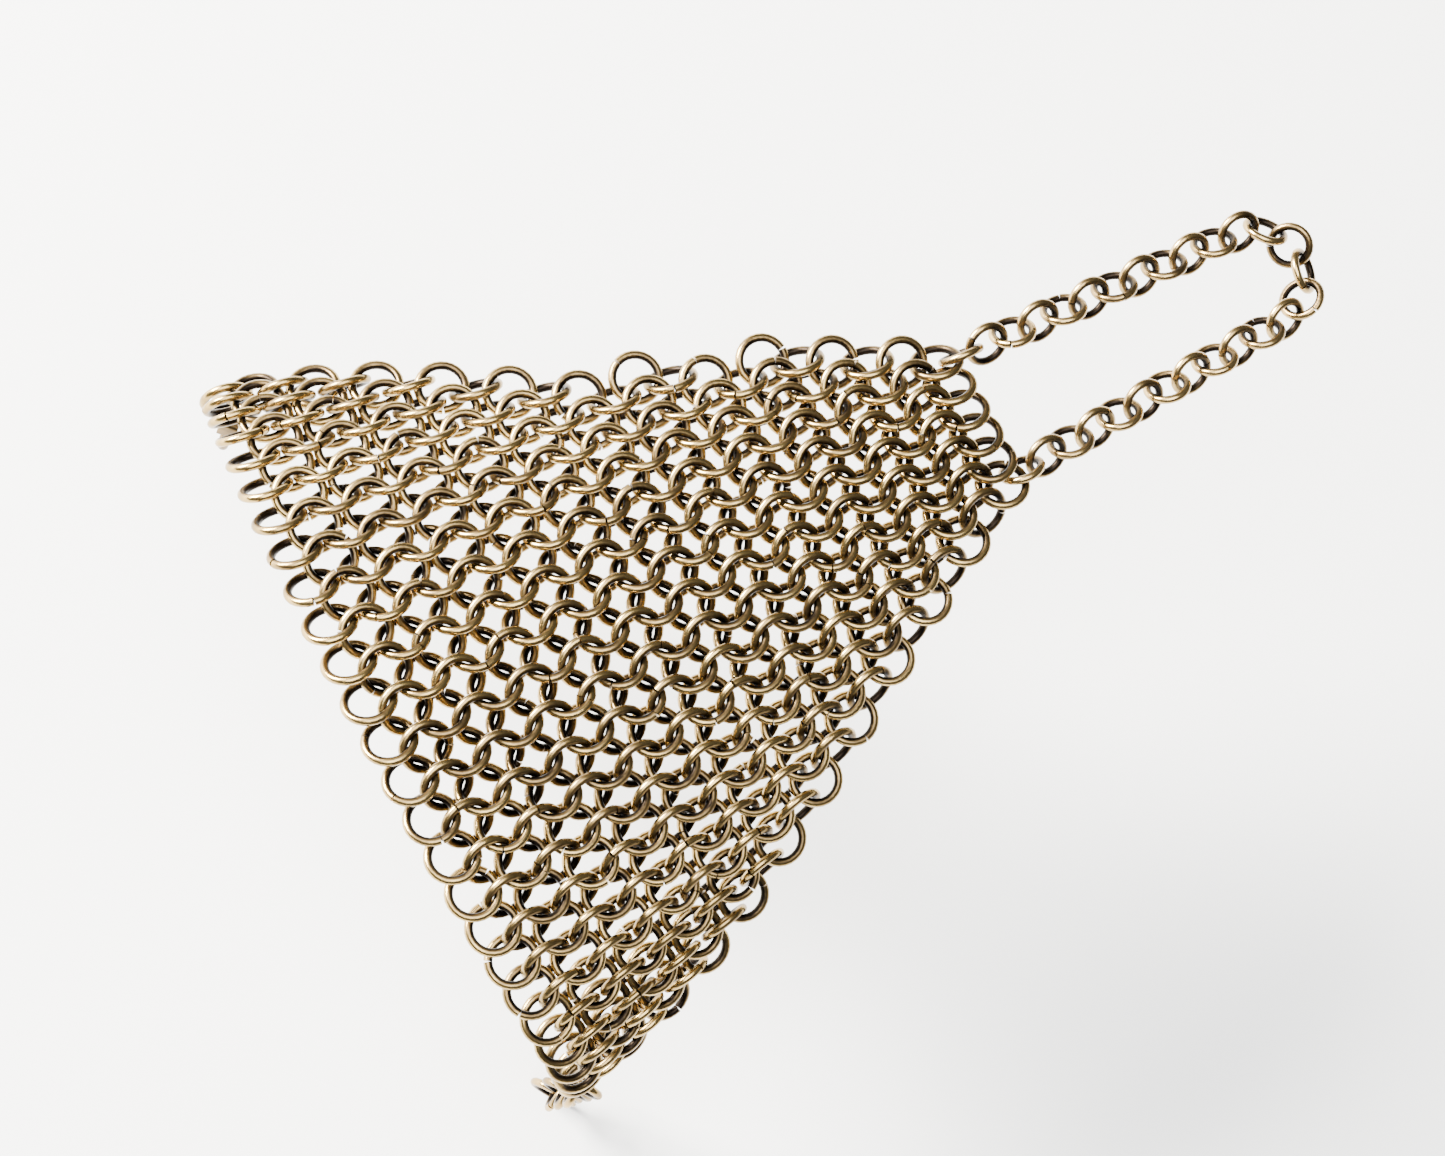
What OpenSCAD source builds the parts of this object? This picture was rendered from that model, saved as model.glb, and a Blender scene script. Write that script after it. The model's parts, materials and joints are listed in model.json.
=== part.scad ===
// Chain mail hand piece: a triangular panel of 4-in-1 mail for the back of the hand, a
// finger loop of single-file chain, and a lobster clasp with an extension chain.
// Millimetres. +X runs from the wrist edge to the finger, +Y across the hand, +Z out of
// the back of the hand. The origin is the middle of the wrist opening.

/* [Mail rings] */
// Outside diameter of a mail ring
mail_ring_diameter = 7.2; // [5:0.1:9]
// Wire of a mail ring
mail_wire = 1.1; // [0.7:0.05:1.2]
// Lean of each ring out of the mail's surface, in degrees
mail_lean = 31; // [20:1:40]
// Distance between the centres of two linked mail rings
link_span = 4.5; // [4:0.05:5]
// Gap at each ring's butt joint, in degrees
joint_gap = 3; // [1:0.5:8]

/* [Panel] */
// Distance between neighbours in the wrist row
wrist_pitch = 5.4; // [5:0.1:6]
// Distance from the wrist row to the point that all the lengthwise lines run to
taper_length = 256; // [150:1:500]
// Number of rows from the wrist to the finger
row_total = 23; // [5:1:30]
// Place along the wrist row of the first ring, counted in rings from the middle
wrist_first = -11.5; // [-14.5:1:-6.5]
// Place along the wrist row of the last ring
wrist_last = 13.5; // [6.5:1:14.5]

/* [Drape] */
// Radius of the back of the hand at the wrist edge
back_radius = 66; // [50:1:100]
// Half the width of that back arc, measured round it
back_half_arc = 41; // [20:1:60]
// Radius of the sides of the wrist
side_radius = 33.5; // [20:0.5:50]

/* [Finger chain] */
// Outside diameter of a chain ring
chain_ring_diameter = 6.3; // [4:0.1:8]
// Wire of a chain ring
chain_wire = 1.05; // [0.6:0.05:1.2]
// Distance between neighbours in the chain
chain_pitch = 3.9; // [3:0.05:4.2]
// Rings in the finger loop
loop_total = 28; // [20:2:36]
// Radius of the loop's rounded far end
loop_tip_radius = 6.6; // [4:0.05:10]
// Lean of each leg towards the other, in degrees
leg_lean = 2.4; // [0:0.1:8]

/* [Closure] */
// Rings in the extension chain
extension_total = 6; // [3:1:10]
// Radius of the clasp's hook, to the middle of its wire
hook_radius = 2.7; // [2:0.1:4]
// Wire of the clasp's hook
hook_wire = 1.5; // [1:0.1:2]
// Diameter of the clasp's pivot pin
pin_diameter = 0.8; // [0.6:0.05:1.2]

/* [Quality] */
// Facets round a ring in the preview
ring_facets = 48; // [24:4:96]
// Facets round the wire in the preview
wire_facets = 14; // [14:2:32]

/* [Hidden] */
brass = [0.58, 0.47, 0.30];
worn_brass = [0.66, 0.55, 0.37];
mail_radius = (mail_ring_diameter - mail_wire) / 2;
chain_radius = (chain_ring_diameter - chain_wire) / 2;
side_turn = back_half_arc / back_radius * 180 / PI;
crown = back_radius - (back_radius - side_radius) * cos(side_turn);
// Half the mean lengthwise step, used to take the pitch midway between two rows
half_step = 1.9;
// How far the butt joint turns from one ring to the next, along and across the mail
joint_step_along = 137.5;
joint_step_across = 61;
// The same from one chain ring to the next
joint_step_chain = 97.5;

// ---- Where things go ----

// Ring pitch across the panel, a distance x from the wrist row
function pitch_at(x) = wrist_pitch * (1 - x / taper_length);

// Lengthwise place of a row, measured down the panel from the wrist row
function row_place(j) = j == 0 ? 0
  : let (x = row_place(j - 1)) x + sqrt(pow(link_span, 2) - pow(pitch_at(x + half_step) / 2, 2));

// Turn of the section round the wrist, in degrees, a distance s from its middle
function turn_at(s) = abs(s) <= back_half_arc
  ? s / back_radius * 180 / PI
  : sign(s) * (side_turn + (abs(s) - back_half_arc) / side_radius * 180 / PI);

// Point of the wrist section; s grows towards -Y
function section_at(s) = let (t = abs(turn_at(s)))
  abs(s) <= back_half_arc
  ? [0, -sign(s) * back_radius * sin(t), crown - back_radius * (1 - cos(t))]
  : [0, -sign(s) * ((back_radius - side_radius) * sin(side_turn) + side_radius * sin(t)),
     side_radius * cos(t)];

function apex() = [taper_length, 0, crown];
function unit(v) = v / norm(v);

// Unit vectors at a place k rings from the middle: towards the finger, across, outwards
function finger_way(k) = unit(apex() - section_at(k * wrist_pitch));
function across_way(k) = let (t = turn_at(k * wrist_pitch), g = finger_way(k),
  a = [0, cos(t), sin(t)]) unit(a - g * (a * g));
function out_way(k) = cross(finger_way(k), across_way(k));

// Middle of the place k rings across, a distance x down the panel
function place_at(k, x) = apex() - finger_way(k) * (taper_length - x);

// Ends of a row; the narrow half keeps its width twice on the first side
function row_first(j) = wrist_first + j / 2 - (j < 13 ? 0 : j < 17 ? 1 : 2);
function row_last(j) = wrist_last - j / 2;

// Moves its children to the place k rings across and x down the panel
module at_place(k, x) {
  g = finger_way(k);
  a = across_way(k);
  o = out_way(k);
  p = place_at(k, x);
  multmatrix([[g[0], a[0], o[0], p[0]],
              [g[1], a[1], o[1], p[1]],
              [g[2], a[2], o[2], p[2]],
              [0, 0, 0, 1]]) children();
}

// ---- Rings ----

// A butted ring of round wire lying in the XY plane, its joint turned to an angle
module jump_ring(radius, wire, joint_turn) {
  rotate([0, 0, joint_turn + joint_gap / 2])
    rotate_extrude(angle = 360 - joint_gap, $fn = ring_facets)
      translate([radius, 0]) circle(d = wire, $fn = wire_facets);
}

// One lengthwise strip of mail: a ring in every row, half a place apart in turn
module mail_strip(m) {
  for (j = [0:row_total - 1]) {
    odd_row = j % 2 == 1;
    k = odd_row ? m : m + 0.5;
    if (k >= row_first(j) - 0.01 && k <= row_last(j) + 0.01)
      at_place(k, row_place(j))
        rotate([odd_row ? mail_lean : -mail_lean, 0, 0])
          jump_ring(mail_radius, mail_wire, (j * joint_step_along + (m + 20) * joint_step_across) % 360);
  }
}

// ---- Finger loop ----

// The loop lies in one plane, rolled a little so both legs meet the panel's leaning end rings
first_reach = 3.59;
loop_height = -0.75;
loop_roll = 1.7;
upper_root_turn = 80;
lower_root_turn = 59;
half_run = (loop_total - 1) / 2 * chain_pitch;
tip_run = loop_tip_radius * (90 - leg_lean) * PI / 180;
tip_centre = first_reach - loop_tip_radius * sin(leg_lean) + (half_run - tip_run) * cos(leg_lean);

// Point on the loop's centre line, a distance u from its far end; u grows towards -Y
function loop_point(u) = let (t = u / loop_tip_radius * 180 / PI, s = abs(u) - tip_run)
  abs(u) < tip_run
  ? [tip_centre + loop_tip_radius * cos(t), -loop_tip_radius * sin(t), 0]
  : [tip_centre + loop_tip_radius * sin(leg_lean) - s * cos(leg_lean),
     -sign(u) * (loop_tip_radius * cos(leg_lean) + s * sin(leg_lean)), 0];
function loop_heading(u) = abs(u) < tip_run
  ? -u / loop_tip_radius * 180 / PI - 90 : (u < 0 ? -leg_lean : 180 + leg_lean);

// Chain rings from first to last, counted round the loop from the upper leg's root
module loop_rings(first, last) {
  at_place(0, row_place(row_total - 1)) translate([0, 0, loop_height]) rotate([loop_roll, 0, 0])
    for (i = [first:last]) {
      u = (i - (loop_total - 1) / 2) * chain_pitch;
      turn = i == 0 ? upper_root_turn : i == loop_total - 1 ? lower_root_turn : 45;
      translate(loop_point(u)) rotate([0, 0, loop_heading(u)])
        rotate([i % 2 == 0 ? -turn : turn, 0, 0])
          jump_ring(chain_radius, chain_wire, (i * joint_step_chain + 40) % 360);
    }
}

// The same stretch of both legs
module loop_pair(first, last) {
  loop_rings(first, last);
  loop_rings(loop_total - 1 - last, loop_total - 1 - first);
}

// ---- Closure ----

// Where the first hanging ring sits below each end ring of the wrist row
clasp_hang = place_at(wrist_first, 0) + [0.9, -1.0, -3.03];
clasp_turn = -47;
extension_hang = place_at(wrist_last, 0) + [0, -1.47, -3.78];
extension_turn = -57.7;
end_ring_drop = 4.3;

// Chain rings hanging straight down, numbered from the panel
module hanging_rings(from, first, last, start_turn) {
  for (i = [first:last])
    translate(from - [0, 0, i * chain_pitch])
      rotate([90, 0, start_turn + (i % 2) * 90])
        jump_ring(chain_radius, chain_wire, (i * joint_step_chain + 20) % 360);
}

// The clasp is drawn in the XY plane with its eye at the origin, then hung
eye_drop = 2.65;
eye_radius = 1.35;
eye_wire = 0.9;
stem_top = -1.4;
stem_length = 1.6;
hook_centre = [0, -8.0, 0];
hook_start = 105;
hook_sweep = 240;
pivot_point = [1.35, -4.6, 0];
cheek_span = 2.6;
cheek_round = 1.8;
shoulder_line = -3.4;
chin_line = -5.0;
slot_width = 1.4;
slot_floor = 0.2;
slot_top = -3.1;
slot_depth = 3.9;
bore_play = 0.04;
gate_root_diameter = 1.9;
gate_root_width = 1.0;
gate_wire = 0.8;
gate_centre = [0.75, -6.9, 0];
gate_radius = 1.6;
gate_nose_turn = -50;
gate_sweep = 119;
tab_reach = [1.5, 0.6, 0];
tab_width = 0.9;
spring_length = 1.8;
spring_width = 0.8;
spring_thickness = 0.12;
spring_low = -5.5;
round_facets = 40;

module at_clasp() {
  translate(clasp_hang - [0, 0, eye_drop]) rotate([90, 0, clasp_turn + 90]) children();
}

// A flat disc in the clasp's plane, its middle at a point
module disc(middle, diameter, width) {
  translate(middle) cylinder(d = diameter, h = width, center = true, $fn = round_facets);
}

// Round wire bent to part of a circle in the clasp's plane
module bent_wire(middle, radius, wire, start, sweep) {
  translate(middle) rotate([0, 0, start]) rotate_extrude(angle = sweep, $fn = 64)
    translate([radius, 0]) circle(d = wire, $fn = 20);
}

// Eye, cheeks and fixed hook, with a slot for the lever and a bore for its pin
module clasp_body_shape() {
  difference() {
    union() {
      rotate_extrude($fn = round_facets) translate([eye_radius, 0]) circle(d = eye_wire, $fn = 16);
      translate([0, stem_top, 0]) rotate([90, 0, 0])
        cylinder(d = hook_wire, h = stem_length, $fn = round_facets);
      hull() {
        for (x = [-0.9, 1.3]) disc([x, shoulder_line, 0], cheek_round, cheek_span);
        for (x = [-1.4, pivot_point[0]]) disc([x, chin_line, 0], cheek_round, cheek_span);
      }
      bent_wire(hook_centre, hook_radius, hook_wire, hook_start, hook_sweep);
    }
    translate([slot_floor, slot_top - slot_depth, -slot_width / 2])
      cube([3, slot_depth, slot_width]);
    disc(pivot_point, pin_diameter + bore_play, 4);
  }
}

// Swinging gate of the clasp: a root disc, a thumb tab and an arm that ends inside the hook
module clasp_lever_shape() {
  difference() {
    union() {
      disc(pivot_point, gate_root_diameter, gate_root_width);
      hull() {
        disc(pivot_point, 1.2, tab_width);
        disc(pivot_point + tab_reach, tab_width, tab_width);
      }
      bent_wire(gate_centre, gate_radius, gate_wire, gate_nose_turn, gate_sweep);
    }
    disc(pivot_point, pin_diameter + 2 * bore_play, 4);
  }
}

// ---- Sub-parts ----

module mail_strip_01() { color(brass) mail_strip(-12); }
module mail_strip_02() { color(brass) mail_strip(-11); }
module mail_strip_03() { color(brass) mail_strip(-10); }
module mail_strip_04() { color(brass) mail_strip(-9); }
module mail_strip_05() { color(brass) mail_strip(-8); }
module mail_strip_06() { color(brass) mail_strip(-7); }
module mail_strip_07() { color(brass) mail_strip(-6); }
module mail_strip_08() { color(brass) mail_strip(-5); }
module mail_strip_09() { color(brass) mail_strip(-4); }
module mail_strip_10() { color(brass) mail_strip(-3); }
module mail_strip_11() { color(brass) mail_strip(-2); }
module mail_strip_12() { color(brass) mail_strip(-1); }
module mail_strip_13() { color(brass) mail_strip(0); }
module mail_strip_14() { color(brass) mail_strip(1); }
module mail_strip_15() { color(brass) mail_strip(2); }
module mail_strip_16() { color(brass) mail_strip(3); }
module mail_strip_17() { color(brass) mail_strip(4); }
module mail_strip_18() { color(brass) mail_strip(5); }
module mail_strip_19() { color(brass) mail_strip(6); }
module mail_strip_20() { color(brass) mail_strip(7); }
module mail_strip_21() { color(brass) mail_strip(8); }
module mail_strip_22() { color(brass) mail_strip(9); }
module mail_strip_23() { color(brass) mail_strip(10); }
module mail_strip_24() { color(brass) mail_strip(11); }
module mail_strip_25() { color(brass) mail_strip(12); }
module mail_strip_26() { color(brass) mail_strip(13); }
module loop_base_rings() { color(worn_brass) loop_pair(0, 3); }
module loop_middle_rings() { color(worn_brass) loop_pair(4, 8); }
module loop_tip_rings() { color(worn_brass) loop_rings(9, loop_total - 10); }
module clasp_ring() { color(worn_brass) hanging_rings(clasp_hang, 0, 0, clasp_turn); }
module clasp_body() { color(brass) at_clasp() clasp_body_shape(); }
module clasp_pin() {
  color(worn_brass) at_clasp() translate(pivot_point)
    cylinder(d = pin_diameter, h = cheek_span + 0.2, center = true, $fn = round_facets);
}
module clasp_lever() { color(worn_brass) at_clasp() clasp_lever_shape(); }
module clasp_spring() {
  color(brass) at_clasp() translate([slot_floor + 0.01, spring_low, -spring_width / 2])
    cube([spring_thickness, spring_length, spring_width]);
}
module extension_upper_rings() {
  color(worn_brass) hanging_rings(extension_hang, 0, 2, extension_turn);
}
module extension_lower_rings() {
  color(worn_brass) hanging_rings(extension_hang, 3, extension_total - 1, extension_turn);
}
module extension_end_ring() {
  color(brass) translate(extension_hang - [0, 0, (extension_total - 1) * chain_pitch + end_ring_drop])
    rotate([90, 0, extension_turn + extension_total % 2 * 90])
      jump_ring(mail_radius, mail_wire, 75);
}

mail_strip_01();
mail_strip_02();
mail_strip_03();
mail_strip_04();
mail_strip_05();
mail_strip_06();
mail_strip_07();
mail_strip_08();
mail_strip_09();
mail_strip_10();
mail_strip_11();
mail_strip_12();
mail_strip_13();
mail_strip_14();
mail_strip_15();
mail_strip_16();
mail_strip_17();
mail_strip_18();
mail_strip_19();
mail_strip_20();
mail_strip_21();
mail_strip_22();
mail_strip_23();
mail_strip_24();
mail_strip_25();
mail_strip_26();
loop_base_rings();
loop_middle_rings();
loop_tip_rings();
clasp_ring();
clasp_body();
clasp_pin();
clasp_lever();
clasp_spring();
extension_upper_rings();
extension_lower_rings();
extension_end_ring();
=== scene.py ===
"""Looks for the chain mail hand piece: butted brass rings, finger chain, clasp and studio."""

import json
import logging
from dataclasses import dataclass, field
from enum import Enum
from math import pi, radians

import bmesh
import bpy
import numpy as np
from mathutils import Matrix, Vector


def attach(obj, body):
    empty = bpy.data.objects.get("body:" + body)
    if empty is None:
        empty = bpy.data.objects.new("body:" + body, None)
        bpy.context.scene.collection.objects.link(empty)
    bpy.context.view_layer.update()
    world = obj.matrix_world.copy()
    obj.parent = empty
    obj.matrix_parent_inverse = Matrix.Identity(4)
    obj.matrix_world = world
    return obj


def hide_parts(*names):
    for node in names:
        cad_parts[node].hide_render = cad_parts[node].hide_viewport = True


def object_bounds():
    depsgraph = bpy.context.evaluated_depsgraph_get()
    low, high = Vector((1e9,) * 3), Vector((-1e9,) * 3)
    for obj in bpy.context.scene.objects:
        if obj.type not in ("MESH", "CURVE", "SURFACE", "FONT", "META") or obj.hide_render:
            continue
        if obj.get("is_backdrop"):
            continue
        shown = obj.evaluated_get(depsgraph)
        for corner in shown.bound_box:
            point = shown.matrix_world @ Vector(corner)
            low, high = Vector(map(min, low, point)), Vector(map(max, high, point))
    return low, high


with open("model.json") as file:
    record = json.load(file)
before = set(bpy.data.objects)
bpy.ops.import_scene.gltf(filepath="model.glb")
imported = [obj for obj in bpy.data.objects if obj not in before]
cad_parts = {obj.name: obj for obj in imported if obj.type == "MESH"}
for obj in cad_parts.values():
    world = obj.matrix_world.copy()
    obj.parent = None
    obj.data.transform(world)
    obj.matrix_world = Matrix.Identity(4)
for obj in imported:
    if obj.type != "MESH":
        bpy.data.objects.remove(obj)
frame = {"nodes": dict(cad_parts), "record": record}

LOG = logging.getLogger("hand_piece")
MM = 0.001
SHARP_FROM = radians(55)

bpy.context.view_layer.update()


# ---------------------------------------------------------------- finishes


class BrassForm(Enum):
    """What the brass is made up as. Wire is bent in rings, with painted shade and some patina towards
    each hole.
    """

    WIRE = "wire"
    CAST = "cast"


@dataclass(frozen=True)
class AntiqueBrass:
    """Brass that is darkened all over and rubbed bright where it is touched; on wire, shade inside
    each ring is painted in too.
    """

    name: str
    form: BrassForm
    rubbed_unshaded: tuple[float, float, float] = (0.43, 0.295, 0.110)
    middle: tuple[float, float, float] = (0.160, 0.104, 0.044)
    dark: tuple[float, float, float] = (0.012, 0.0085, 0.006)
    worn_roughness: float = 0.20
    dark_roughness: float = 0.38
    dark_stop: float = 0.05
    middle_stop: float = 0.38
    worn_stop: float = 0.80
    worn_level: float = 0.10
    # Inside each ring the colour is painted darker: painted shade between the rings, with some patina.
    inner_shade_and_patina: float = 0.95
    inner_power: float = 1.7
    ring_spread: float = 0.25
    blotch_scale: float = 420.0
    blotch_detail: float = 3.0
    blotch_depth: float = 0.9
    grain_scale: float = 3600.0
    grain_detail: float = 4.0
    grain_strength: float = 0.35
    grain_height: float = 0.03 * MM

    def material(self) -> bpy.types.Material:
        """Builds the finish as a material.

        Returns:
            A metal whose colour and gloss follow how rubbed each spot is and, on wire, the shade
            painted inside each ring.
        """
        made = bpy.data.materials.new(self.name)
        made.use_nodes = True
        tree = made.node_tree
        tree.nodes.clear()
        shader = tree.nodes.new("ShaderNodeBsdfPrincipled")
        shader.inputs["Metallic"].default_value = 1.0
        output = tree.nodes.new("ShaderNodeOutputMaterial")
        tree.links.new(shader.outputs["BSDF"], output.inputs["Surface"])
        rubbed_unshaded = self._wear_and_shade(tree)
        tree.links.new(self._colour(tree, rubbed_unshaded), shader.inputs["Base Color"])
        tree.links.new(self._roughness(tree, rubbed_unshaded), shader.inputs["Roughness"])
        tree.links.new(self._grain(tree), shader.inputs["Normal"])
        return made

    def _noise(self, tree: bpy.types.NodeTree, scale: float, detail: float) -> bpy.types.NodeSocket:
        """Noise on the piece's own coordinates, in metres.

        Args:
            tree: The material's node tree.
            scale: Noise cells to the metre.
            detail: Octaves of finer noise.

        Returns:
            The noise value's socket.
        """
        place = tree.nodes.new("ShaderNodeTexCoord")
        noise = tree.nodes.new("ShaderNodeTexNoise")
        noise.inputs["Scale"].default_value = scale
        noise.inputs["Detail"].default_value = detail
        tree.links.new(place.outputs["Object"], noise.inputs["Vector"])
        return noise.outputs["Fac"]

    def _sum(self, tree: bpy.types.NodeTree, value: bpy.types.NodeSocket, times: float,
             plus: bpy.types.NodeSocket | float) -> bpy.types.NodeSocket:
        """Multiplies a value and adds to it.

        Args:
            tree: The material's node tree.
            value: The value to scale.
            times: What it is multiplied by.
            plus: A number or another value that is added.

        Returns:
            The result's socket.
        """
        node = tree.nodes.new("ShaderNodeMath")
        node.operation = "MULTIPLY_ADD"
        tree.links.new(value, node.inputs[0])
        node.inputs[1].default_value = times
        if isinstance(plus, float):
            node.inputs[2].default_value = plus
        else:
            tree.links.new(plus, node.inputs[2])
        return node.outputs[0]

    def _wear_and_shade(self, tree: bpy.types.NodeTree) -> bpy.types.NodeSocket:
        """How rubbed and how unshaded a spot is painted. On wire it is least inside a ring, where
        shade between the rings is painted in with some patina, and differs from ring to ring.

        Args:
            tree: The material's node tree.

        Returns:
            A value where 0 and under is dark, and 1 and over is rubbed bright.
        """
        blotch = self._noise(tree, self.blotch_scale, self.blotch_detail)
        rubbed_unshaded = self._sum(tree, blotch, self.blotch_depth, self.worn_level)
        if self.form is BrassForm.WIRE:
            # On wire, shade between the rings is painted in: darker towards each ring's hole, with
            # some patina.
            recess = tree.nodes.new("ShaderNodeAttribute")
            recess.attribute_name = RingTree.RECESS
            deep = tree.nodes.new("ShaderNodeMath")
            deep.operation = "POWER"
            tree.links.new(recess.outputs["Fac"], deep.inputs[0])
            deep.inputs[1].default_value = self.inner_power
            rubbed_unshaded = self._sum(tree, deep.outputs[0], -self.inner_shade_and_patina, rubbed_unshaded)
            tone = tree.nodes.new("ShaderNodeAttribute")
            tone.attribute_name = RingTree.TONE
            rubbed_unshaded = self._sum(tree, tone.outputs["Fac"], self.ring_spread, rubbed_unshaded)
        return rubbed_unshaded

    def _colour(self, tree: bpy.types.NodeTree, rubbed_unshaded: bpy.types.NodeSocket) -> bpy.types.NodeSocket:
        """Colour of the metal for how rubbed it is and how much shade is painted on it.

        Args:
            tree: The material's node tree.
            rubbed_unshaded: How rubbed each spot is, less the shade painted on it.

        Returns:
            The colour's socket.
        """
        ramp = tree.nodes.new("ShaderNodeValToRGB")
        stops = ramp.color_ramp.elements
        stops[0].position = self.dark_stop
        stops[0].color = (*self.dark, 1.0)
        stops[1].position = self.worn_stop
        stops[1].color = (*self.rubbed_unshaded, 1.0)
        middle = stops.new(self.middle_stop)
        middle.color = (*self.middle, 1.0)
        tree.links.new(rubbed_unshaded, ramp.inputs["Fac"])
        return ramp.outputs["Color"]

    def _roughness(self, tree: bpy.types.NodeTree, rubbed_unshaded: bpy.types.NodeSocket) -> bpy.types.NodeSocket:
        """Roughness of the metal for how rubbed it is and how much shade is painted on it.

        Args:
            tree: The material's node tree.
            rubbed_unshaded: How rubbed each spot is, less the shade painted on it.

        Returns:
            The roughness's socket.
        """
        span = tree.nodes.new("ShaderNodeMapRange")
        span.inputs["To Min"].default_value = self.dark_roughness
        span.inputs["To Max"].default_value = self.worn_roughness
        tree.links.new(rubbed_unshaded, span.inputs["Value"])
        return span.outputs["Result"]

    def _grain(self, tree: bpy.types.NodeTree) -> bpy.types.NodeSocket:
        """Fine pitting of the metal.

        Args:
            tree: The material's node tree.

        Returns:
            The bumped normal's socket.
        """
        bump = tree.nodes.new("ShaderNodeBump")
        bump.inputs["Strength"].default_value = self.grain_strength
        bump.inputs["Distance"].default_value = self.grain_height
        grain = self._noise(tree, self.grain_scale, self.grain_detail)
        tree.links.new(grain, bump.inputs["Height"])
        return bump.outputs["Normal"]


@dataclass(frozen=True)
class SpringSteel:
    """Plain grey strip of the clasp's spring."""

    name: str = "spring_steel"
    colour: tuple[float, float, float] = (0.30, 0.30, 0.31)
    roughness: float = 0.35

    def material(self) -> bpy.types.Material:
        """Builds the finish as a material.

        Returns:
            The material.
        """
        made = bpy.data.materials.new(self.name)
        made.use_nodes = True
        shader = made.node_tree.nodes["Principled BSDF"]
        shader.inputs["Base Color"].default_value = (*self.colour, 1.0)
        shader.inputs["Metallic"].default_value = 1.0
        shader.inputs["Roughness"].default_value = self.roughness
        return made


@dataclass(frozen=True)
class PaleFloor:
    """Matt white board under the piece."""

    name: str = "pale_floor"
    colour: tuple[float, float, float] = (0.86, 0.865, 0.87)
    roughness: float = 0.9
    specular: float = 0.1

    def material(self) -> bpy.types.Material:
        """Builds the finish as a material.

        Returns:
            The material.
        """
        made = bpy.data.materials.new(self.name)
        made.use_nodes = True
        shader = made.node_tree.nodes["Principled BSDF"]
        shader.inputs["Base Color"].default_value = (*self.colour, 1.0)
        shader.inputs["Roughness"].default_value = self.roughness
        shader.inputs["Specular IOR Level"].default_value = self.specular
        return made


# ---------------------------------------------------------------- ring places


@dataclass(frozen=True)
class RingPlace:
    """Where one ring lies, as its CAD solid gives it."""

    middle: Vector
    turn: Matrix
    radius: float
    wire: float


class RingReader:
    """Reads the place of every ring from the CAD nodes' meshes.

    Points closer than SAME_POINT metres count as one. A triangle belongs to a wire end where its
    normal lies along the wire, so that the two agree by more than CAP_ALONG.
    """

    SAME_POINT = 1e-7
    CAP_ALONG = 0.95

    def places(self, node: str) -> list[RingPlace]:
        """Finds the rings of one node.

        Args:
            node: The CAD node's name.

        Returns:
            One place for each separate ring.
        """
        mesh = frame["nodes"][node].data
        points = np.array([v.co for v in mesh.vertices])
        keys = np.round(points / self.SAME_POINT).astype(np.int64)
        _, first, merged = np.unique(keys, axis=0, return_index=True, return_inverse=True)
        points = points[first]
        faces = merged.ravel()[np.array([tuple(p.vertices) for p in mesh.polygons])]
        island = self._islands(len(points), faces)
        return [self._fit(points, faces[island[faces[:, 0]] == one]) for one in np.unique(island)]

    def _islands(self, total: int, faces: np.ndarray) -> np.ndarray:
        """Numbers the points by the separate solid that each belongs to.

        Args:
            total: How many points there are.
            faces: The triangles' point numbers.

        Returns:
            For each point, the lowest point number in its solid.
        """
        label = np.arange(total)
        while True:
            lowest = label[faces].min(axis=1)
            spread = label.copy()
            for corner in range(3):
                np.minimum.at(spread, faces[:, corner], lowest)
            spread = spread[spread]
            if np.array_equal(spread, label):
                return label
            label = spread

    def _fit(self, points: np.ndarray, faces: np.ndarray) -> RingPlace:
        """Fits a ring to one solid.

        Args:
            points: All the node's points.
            faces: The solid's triangles.

        Returns:
            The ring's middle, its turn with the butt joint along its own X, and its sizes.
        """
        own = points[np.unique(faces)]
        rough = own.mean(axis=0)
        flat, axis = self._plane(own - rough)
        along = (own - rough) @ flat.T
        sides = np.column_stack([2 * along, np.ones(len(along))])
        solved = np.linalg.lstsq(sides, (along**2).sum(axis=1), rcond=None)[0]
        middle = rough + solved[:2] @ flat
        reach = np.linalg.norm((own - middle) @ flat.T, axis=1)
        joint = self._joint_way(points, faces, middle, axis)
        turn = Matrix((joint, np.cross(axis, joint), axis)).transposed()
        wire = (reach.max() - reach.min()) / 2
        return RingPlace(Vector(middle), turn, (reach.max() + reach.min()) / 2, wire)

    def _plane(self, offsets: np.ndarray) -> tuple[np.ndarray, np.ndarray]:
        """The plane a ring lies in.

        Args:
            offsets: The ring's points from their mean.

        Returns:
            Two unit vectors in the plane, and its normal, which points up.
        """
        _, _, ways = np.linalg.svd(offsets, full_matrices=False)
        axis = ways[2] * (1.0 if ways[2][2] >= 0 else -1.0)
        return ways[:2], axis

    def _joint_way(self, points: np.ndarray, faces: np.ndarray, middle: np.ndarray,
                   axis: np.ndarray) -> np.ndarray:
        """The way from a ring's middle to its butt joint.

        Args:
            points: All the node's points.
            faces: The ring's triangles.
            middle: The ring's middle.
            axis: The ring's axis.

        Returns:
            A unit vector in the ring's plane.
        """
        corners = points[faces]
        normal = np.cross(corners[:, 1] - corners[:, 0], corners[:, 2] - corners[:, 0])
        area = np.linalg.norm(normal, axis=1, keepdims=True)
        out = corners.mean(axis=1) - middle
        round_way = np.cross(axis, out)
        round_way /= np.linalg.norm(round_way, axis=1, keepdims=True)
        cap = np.abs((normal * round_way).sum(axis=1)) > self.CAP_ALONG * area[:, 0]
        way = (out * area)[cap].sum(axis=0)
        way -= axis * (way @ axis)
        return way / np.linalg.norm(way)


# ---------------------------------------------------------------- rings by Geometry Nodes


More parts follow.
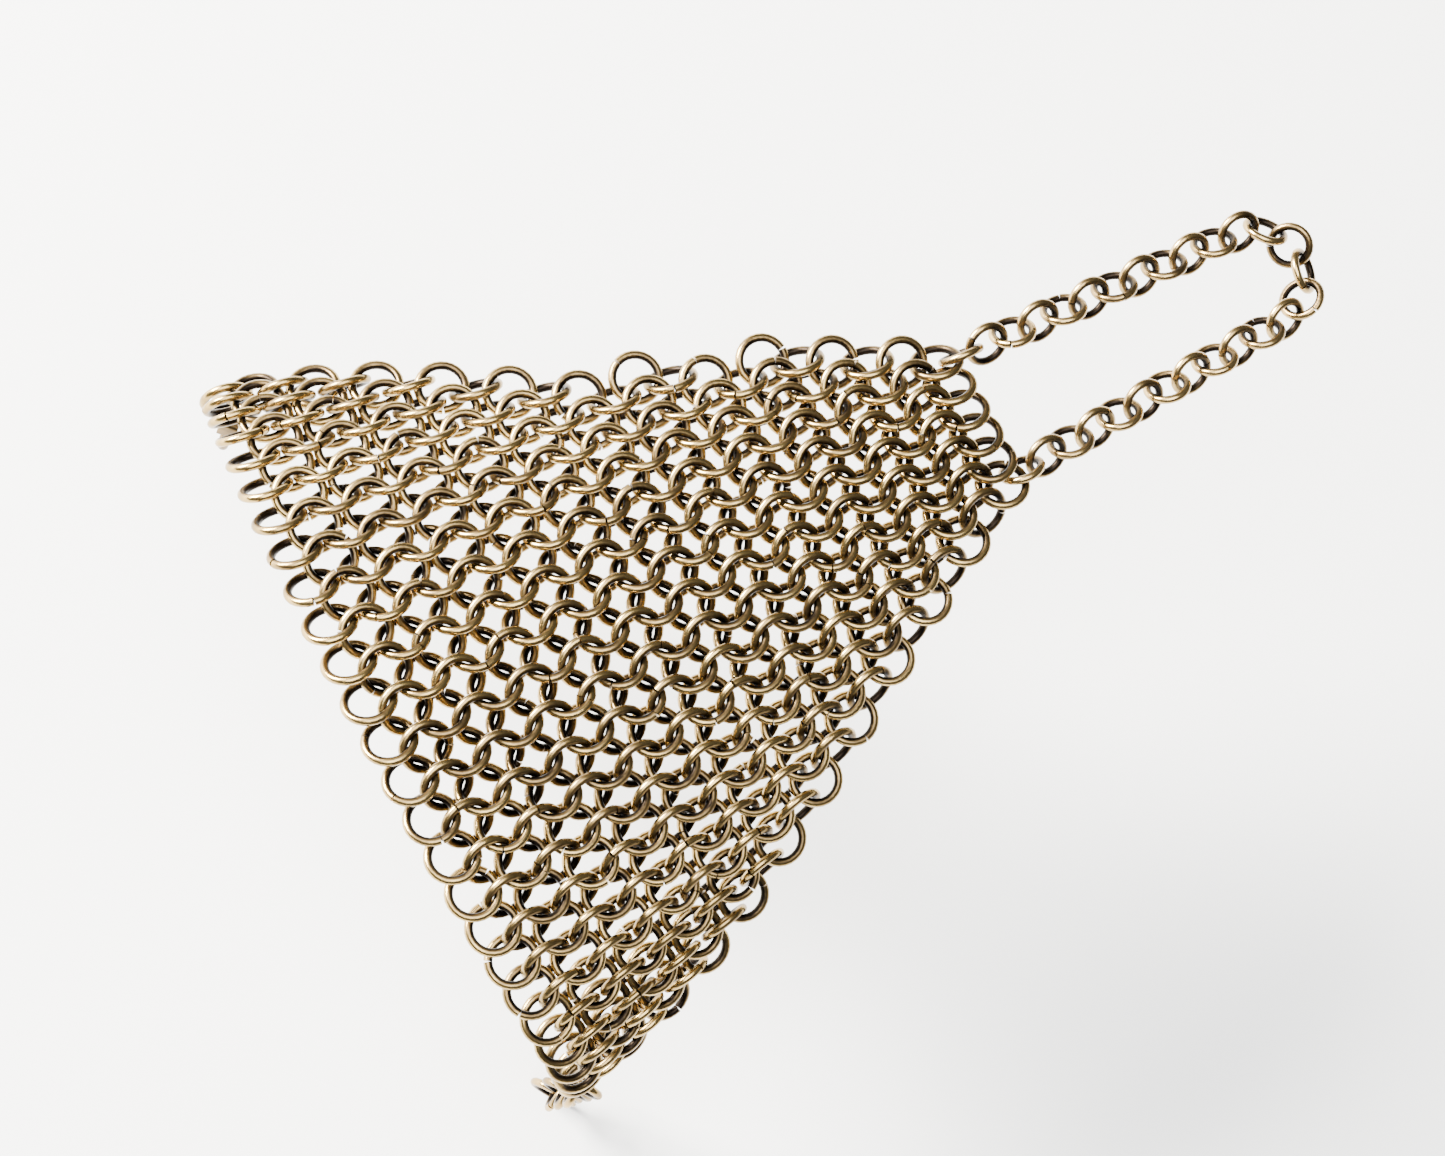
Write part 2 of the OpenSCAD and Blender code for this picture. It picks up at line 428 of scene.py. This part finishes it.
class RingTree:
    """Geometry Nodes tree that lays a butted ring of round wire at every point.

    RECESS, TONE and TURN name the attributes that it writes and reads, SEED fixes the tones, and
    END_POWER says how close to its ends the wire turns out of line.
    """

    RECESS = "recess"
    TONE = "tone"
    TURN = "turn"
    SEED = 7
    END_POWER = 9.0

    def __init__(self, name: str) -> None:
        """Builds the tree.

        Args:
            name: The node group's name.
        """
        self.group = bpy.data.node_groups.new(name, "GeometryNodeTree")
        face = self.group.interface
        face.new_socket("Geometry", in_out="INPUT", socket_type="NodeSocketGeometry")
        face.new_socket("Geometry", in_out="OUTPUT", socket_type="NodeSocketGeometry")
        for label in ("Ring Radius", "Wire Radius", "Joint Gap", "End Step"):
            face.new_socket(label, in_out="INPUT", socket_type="NodeSocketFloat")
        for label in ("Segments", "Wire Sides"):
            face.new_socket(label, in_out="INPUT", socket_type="NodeSocketInt")
        face.new_socket("Metal", in_out="INPUT", socket_type="NodeSocketMaterial")
        self.start = self.group.nodes.new("NodeGroupInput")
        self._lay(self._marked(self._wire()))

    def _node(self, kind: str, **values: object) -> bpy.types.Node:
        """Adds a node and sets its options.

        Args:
            kind: The node's type.
            **values: Options of the node.

        Returns:
            The new node.
        """
        node = self.group.nodes.new(kind)
        for name, value in values.items():
            setattr(node, name, value)
        return node

    def _math(self, operation: str, *values: bpy.types.NodeSocket | float) -> bpy.types.NodeSocket:
        """Adds a Math node.

        Args:
            operation: The node's operation.
            *values: Its inputs, each a socket or a number.

        Returns:
            The result's socket.
        """
        node = self._node("ShaderNodeMath", operation=operation)
        for slot, value in zip(node.inputs, values):
            if isinstance(value, (int, float)):
                slot.default_value = value
            else:
                self.group.links.new(value, slot)
        return node.outputs[0]

    def _wire(self) -> bpy.types.NodeSocket:
        """The bent wire: an arc that stops short of a full turn, its ends a little out of line.

        Returns:
            The ring's mesh socket.
        """
        link = self.group.links.new
        gap = self.start.outputs["Joint Gap"]
        arc = self._node("GeometryNodeCurveArc", mode="RADIUS")
        link(self.start.outputs["Segments"], arc.inputs["Resolution"])
        link(self.start.outputs["Ring Radius"], arc.inputs["Radius"])
        link(self._math("MULTIPLY", gap, 0.5), arc.inputs["Start Angle"])
        link(self._math("SUBTRACT", 2 * pi, gap), arc.inputs["Sweep Angle"])
        along = self._node("GeometryNodeSplineParameter").outputs["Factor"]
        signed = self._math("MULTIPLY_ADD", along, 2.0, -1.0)
        ends = self._math("POWER", signed, self.END_POWER)
        step = self._node("ShaderNodeCombineXYZ")
        link(self._math("MULTIPLY", ends, self.start.outputs["End Step"]), step.inputs["Z"])
        bent = self._node("GeometryNodeSetPosition")
        link(arc.outputs["Curve"], bent.inputs["Geometry"])
        link(step.outputs["Vector"], bent.inputs["Offset"])
        section = self._node("GeometryNodeCurvePrimitiveCircle", mode="RADIUS")
        link(self.start.outputs["Wire Sides"], section.inputs["Resolution"])
        link(self.start.outputs["Wire Radius"], section.inputs["Radius"])
        sweep = self._node("GeometryNodeCurveToMesh")
        sweep.inputs["Fill Caps"].default_value = True
        link(bent.outputs["Geometry"], sweep.inputs["Curve"])
        link(section.outputs["Curve"], sweep.inputs["Profile Curve"])
        return sweep.outputs["Mesh"]

    def _marked(self, mesh: bpy.types.NodeSocket) -> bpy.types.NodeSocket:
        """Marks how far round the wire each point is, from its outside to the ring's hole; the brass
        paints shade from this mark.

        Args:
            mesh: The ring's mesh socket.

        Returns:
            The marked mesh socket.
        """
        link = self.group.links.new
        place = self._node("ShaderNodeSeparateXYZ")
        link(self._node("GeometryNodeInputPosition").outputs["Position"], place.inputs["Vector"])
        square = self._math("ADD", self._math("POWER", place.outputs["X"], 2.0),
                            self._math("POWER", place.outputs["Y"], 2.0))
        inward = self._math("SUBTRACT", self.start.outputs["Ring Radius"], self._math("SQRT", square))
        share = self._math("DIVIDE", inward, self.start.outputs["Wire Radius"])
        mark = self._node("GeometryNodeStoreNamedAttribute", data_type="FLOAT", domain="POINT")
        mark.inputs["Name"].default_value = self.RECESS
        link(mesh, mark.inputs["Geometry"])
        link(self._math("MULTIPLY_ADD", share, 0.5, 0.5), mark.inputs["Value"])
        return mark.outputs["Geometry"]

    def _lay(self, ring: bpy.types.NodeSocket) -> None:
        """Lays the ring at every point, gives each its own tone, and finishes the mesh.

        Args:
            ring: The marked ring's mesh socket.
        """
        link = self.group.links.new
        turn = self._node("GeometryNodeInputNamedAttribute", data_type="FLOAT_VECTOR")
        turn.inputs["Name"].default_value = self.TURN
        as_turn = self._node("FunctionNodeEulerToRotation")
        link(turn.outputs["Attribute"], as_turn.inputs["Euler"])
        laid = self._node("GeometryNodeInstanceOnPoints")
        link(self.start.outputs["Geometry"], laid.inputs["Points"])
        link(ring, laid.inputs["Instance"])
        link(as_turn.outputs["Rotation"], laid.inputs["Rotation"])
        chance = self._node("FunctionNodeRandomValue", data_type="FLOAT")
        chance.inputs["Seed"].default_value = self.SEED
        tone = self._node("GeometryNodeStoreNamedAttribute", data_type="FLOAT", domain="INSTANCE")
        tone.inputs["Name"].default_value = self.TONE
        link(laid.outputs["Instances"], tone.inputs["Geometry"])
        link(chance.outputs[1], tone.inputs["Value"])
        real = self._node("GeometryNodeRealizeInstances")
        link(tone.outputs["Geometry"], real.inputs["Geometry"])
        metal = self._node("GeometryNodeSetMaterial")
        link(real.outputs["Geometry"], metal.inputs["Geometry"])
        link(self.start.outputs["Metal"], metal.inputs["Material"])
        end = self._node("NodeGroupOutput")
        link(metal.outputs["Geometry"], end.inputs["Geometry"])

    @staticmethod
    def _fullness(corners: int) -> float:
        """How much wider a polygon must be drawn to cover as much as its circle.

        Args:
            corners: The polygon's corners.

        Returns:
            The factor for its radius.
        """
        step = 2 * pi / corners
        return float(np.sqrt(step / np.sin(step)))

    def build(self, name: str, places: list[RingPlace], joint_gap: float, end_step: float,
              segments: int, sides: int, metal: bpy.types.Material) -> bpy.types.Object:
        """Makes one plain mesh of rings.

        Args:
            name: The piece's name.
            places: Where the rings lie; they are all one size.
            joint_gap: Gap at the butt joint, as an angle.
            end_step: How far each wire end stands out of line, in metres.
            segments: Points along the wire.
            sides: Sides round the wire.
            metal: The rings' material.

        Returns:
            The finished piece, at the origin.
        """
        seeds = bpy.data.meshes.new(name + "_places")
        seeds.from_pydata([p.middle for p in places], [], [])
        turns = seeds.attributes.new(self.TURN, "FLOAT_VECTOR", "POINT")
        turns.data.foreach_set("vector", [a for p in places for a in p.turn.to_euler()])
        piece = bpy.data.objects.new(name, seeds)
        bpy.context.scene.collection.objects.link(piece)
        step = piece.modifiers.new("rings", "NODES")
        step.node_group = self.group
        sizes = {
            "Ring Radius": float(np.mean([p.radius for p in places])) * self._fullness(segments),
            "Wire Radius": float(np.mean([p.wire for p in places])) * self._fullness(sides),
            "Joint Gap": joint_gap,
            "End Step": end_step,
            "Segments": segments,
            "Wire Sides": sides,
            "Metal": metal,
        }
        for socket in self.group.interface.items_tree:
            if socket.in_out == "INPUT" and socket.name in sizes:
                step[socket.identifier] = sizes[socket.name]
        return bake(piece)


def bake(piece: bpy.types.Object) -> bpy.types.Object:
    """Turns a piece with live modifiers into a plain mesh with its faces outward.

    Args:
        piece: The piece, at the origin.

    Returns:
        The same object, with the plain mesh and no modifier.
    """
    seen = piece.evaluated_get(bpy.context.evaluated_depsgraph_get())
    plain = bpy.data.meshes.new_from_object(seen)
    piece.modifiers.clear()
    piece.data = plain
    work = bmesh.new()
    work.from_mesh(plain)
    if work.calc_volume(signed=True) < 0:
        bmesh.ops.reverse_faces(work, faces=work.faces)
    work.to_mesh(plain)
    work.free()
    plain.name = piece.name
    plain.shade_smooth()
    plain.set_sharp_from_angle(angle=SHARP_FROM)
    return piece


# ---------------------------------------------------------------- sub-assemblies


@dataclass
class RingWork:
    """Rings of one sub-assembly: which CAD nodes they stand for and how they are finished."""

    metal: bpy.types.Material
    tree: RingTree
    slot: str
    joint_gap: float = radians(3.0)
    end_step: float = 0.03 * MM
    segments: int = 27
    sides: int = 10
    reader: RingReader = field(default_factory=RingReader)

    def dress(self, name: str, body: str, nodes: list[str]) -> bpy.types.Object:
        """Builds the rings of some nodes as one piece and puts them on their body.

        Args:
            name: The piece's name.
            body: The CAD body it rides on.
            nodes: The CAD nodes it stands for.

        Returns:
            The finished piece.
        """
        places = [place for node in nodes for place in self.reader.places(node)]
        piece = self.tree.build(name, places, self.joint_gap, self.end_step, self.segments,
                                self.sides, self.metal)
        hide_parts(*nodes)
        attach(piece, body)
        LOG.info("%s: %d rings on %s", name, len(places), body)
        return piece


@dataclass
class MailPanel:
    """The panel of 4-in-1 mail, in the five parts that it bends between."""

    work: RingWork
    parts: tuple[str, ...] = ("panel", "upper_wing", "upper_tip", "lower_wing", "lower_tip")

    def build(self) -> list[bpy.types.Object]:
        """Builds the rings of each part."""
        groups = frame["record"]["behaviour"]["bodies"]
        return [self.work.dress("mail_" + part, part, groups[part]) for part in self.parts]


@dataclass
class FingerLoop:
    """The loop of single-file chain that goes round a finger."""

    work: RingWork
    parts: tuple[str, ...] = ("loop_base", "loop_middle", "loop_tip")

    def build(self) -> list[bpy.types.Object]:
        """Builds the rings of each stretch of the loop."""
        return [self.work.dress(part, part, [part + "_rings"]) for part in self.parts]


@dataclass
class Closure:
    """The wrist closure: link ring, lobster clasp and extension chain."""

    work: RingWork
    cast: bpy.types.Material
    steel: bpy.types.Material
    edge_round: float = 0.22 * MM
    edge_steps: int = 3
    edge_from: float = radians(50)
    same_point: float = 0.0005 * MM
    flat_within: float = radians(1.0)

    def build(self) -> list[bpy.types.Object]:
        """Builds the chain's rings and the clasp, and dresses the clasp's pin and spring.

        Returns:
            The pieces that stand for CAD nodes.
        """
        rings = [
            self.work.dress("clasp_link", "clasp_ring", ["clasp_ring"]),
            self.work.dress("extension_upper", "extension_upper", ["extension_upper_rings"]),
            self.work.dress("extension_lower", "extension_lower", ["extension_lower_rings"]),
            self.work.dress("extension_end", "extension_lower", ["extension_end_ring"]),
        ]
        cast = [
            self._cast("clasp_shell", "clasp", "clasp_body"),
            self._cast("clasp_gate", "clasp_gate_arm", "clasp_lever"),
        ]
        self._plain("clasp_pin", self.cast)
        self._plain("clasp_spring", self.steel)
        return rings + cast

    def _cast(self, name: str, body: str, node: str) -> bpy.types.Object:
        """Copies a CAD node and rounds its edges, as a casting's are.

        Args:
            name: The piece's name.
            body: The CAD body it rides on.
            node: The CAD node it stands for.

        Returns:
            The finished piece.
        """
        mesh = frame["nodes"][node].data.copy()
        work = bmesh.new()
        work.from_mesh(mesh)
        bmesh.ops.remove_doubles(work, verts=work.verts, dist=self.same_point)
        bmesh.ops.dissolve_limit(work, angle_limit=self.flat_within, verts=work.verts,
                                 edges=work.edges)
        work.to_mesh(mesh)
        work.free()
        mesh.materials.clear()
        mesh.materials.append(self.cast)
        piece = bpy.data.objects.new(name, mesh)
        bpy.context.scene.collection.objects.link(piece)
        edge = piece.modifiers.new("edges", "BEVEL")
        edge.width = self.edge_round
        edge.segments = self.edge_steps
        edge.limit_method = "ANGLE"
        edge.angle_limit = self.edge_from
        bake(piece)
        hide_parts(node)
        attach(piece, body)
        LOG.info("%s: cast, on %s", name, body)
        return piece

    def _plain(self, node: str, metal: bpy.types.Material) -> None:
        """Gives a CAD node its finish.

        Args:
            node: The CAD node.
            metal: Its material.
        """
        shown = frame["nodes"][node]
        shown.data.materials.clear()
        shown.data.materials.append(metal)
        LOG.info("%s: CAD shape", node)


# ---------------------------------------------------------------- studio


@dataclass
class SoftLight:
    """One large soft light, aimed at the piece."""

    name: str
    place: tuple[float, float, float]
    size: float
    power: float
    tint: tuple[float, float, float]

    def build(self, target: Vector) -> None:
        """Puts up the light.

        Args:
            target: The point it faces.
        """
        lamp = bpy.data.lights.new(self.name, "AREA")
        lamp.size = self.size
        lamp.energy = self.power
        lamp.color = self.tint
        stand = bpy.data.objects.new(self.name, lamp)
        stand.location = Vector(self.place)
        stand.rotation_mode = "QUATERNION"
        stand.rotation_quaternion = (target - stand.location).to_track_quat("-Z", "Y")
        bpy.context.scene.collection.objects.link(stand)


@dataclass
class Studio:
    """Pale floor, soft lights and the camera."""

    eye: tuple[float, float, float] = (-61.4 * MM, -32.1 * MM, 423.4 * MM)
    ahead: tuple[float, float, float] = (0.2701, 0.0718, -0.9602)
    right: tuple[float, float, float] = (0.8584, -0.4697, 0.2063)
    lens: float = 79.7
    sensor: float = 36.0
    nearest: float = 0.01
    floor_size: float = 24.0
    floor_drop: float = 0.3 * MM
    sky: tuple[float, float, float] = (0.93, 0.96, 1.0)
    sky_strength: float = 0.18
    lights: tuple[SoftLight, ...] = (
        SoftLight("key_softbox", (-0.55, 0.95, 0.60), 0.5, 210.0, (1.0, 0.965, 0.89)),
        SoftLight("top_softbox", (-0.25, 0.0, 1.55), 1.2, 62.0, (0.96, 0.98, 1.0)),
    )

    def build(self) -> None:
        """Builds the floor, the lights and the camera."""
        low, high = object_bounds()
        middle = (low + high) / 2
        self._floor(low.z - self.floor_drop, middle)
        for light in self.lights:
            light.build(middle)
        self._sky()
        self._camera()
        LOG.info("studio: floor, %d lights, camera", len(self.lights))

    def _floor(self, height: float, middle: Vector) -> None:
        """Lays the floor just under the piece.

        Args:
            height: The floor's height.
            middle: The middle of the piece.
        """
        half = self.floor_size / 2
        mesh = bpy.data.meshes.new("floor")
        corners = [(middle.x + x * half, middle.y + y * half, height)
                   for x, y in ((-1, -1), (1, -1), (1, 1), (-1, 1))]
        mesh.from_pydata(corners, [], [(0, 1, 2, 3)])
        mesh.materials.append(PaleFloor().material())
        floor = bpy.data.objects.new("floor", mesh)
        bpy.context.scene.collection.objects.link(floor)
        floor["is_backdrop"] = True

    def _sky(self) -> None:
        """Sets the even light of the room."""
        world = bpy.data.worlds.new("room")
        world.use_nodes = True
        shade = world.node_tree.nodes["Background"]
        shade.inputs["Color"].default_value = (*self.sky, 1.0)
        shade.inputs["Strength"].default_value = self.sky_strength
        bpy.context.scene.world = world

    def _camera(self) -> None:
        """Places the camera."""
        data = bpy.data.cameras.new("camera")
        data.lens = self.lens
        data.sensor_width = self.sensor
        data.clip_start = self.nearest
        ahead = Vector(self.ahead).normalized()
        right = Vector(self.right)
        right = (right - ahead * right.dot(ahead)).normalized()
        up = right.cross(ahead)
        camera = bpy.data.objects.new("camera", data)
        turn = Matrix((right, up, -ahead)).transposed().to_4x4()
        camera.matrix_world = Matrix.Translation(self.eye) @ turn
        bpy.context.scene.collection.objects.link(camera)
        bpy.context.scene.camera = camera


# ---------------------------------------------------------------- the whole piece


def main() -> None:
    """Builds every piece in order, then the studio."""
    logging.basicConfig(level=logging.INFO, format="%(name)s: %(message)s")
    tree = RingTree("butted_rings")
    mail = AntiqueBrass("mail_brass", BrassForm.WIRE).material()
    chain = AntiqueBrass("chain_brass", BrassForm.WIRE, rubbed_unshaded=(0.49, 0.335, 0.135)).material()
    cast = AntiqueBrass("clasp_brass", BrassForm.CAST, worn_level=-0.12).material()
    chain_work = RingWork(chain, tree, "chain")
    pieces = MailPanel(RingWork(mail, tree, "mail")).build()
    pieces += FingerLoop(chain_work).build()
    pieces += Closure(chain_work, cast, SpringSteel().material()).build()
    LOG.info("%d pieces built", len(pieces))
    Studio().build()


if __name__ == "__main__":
    main()
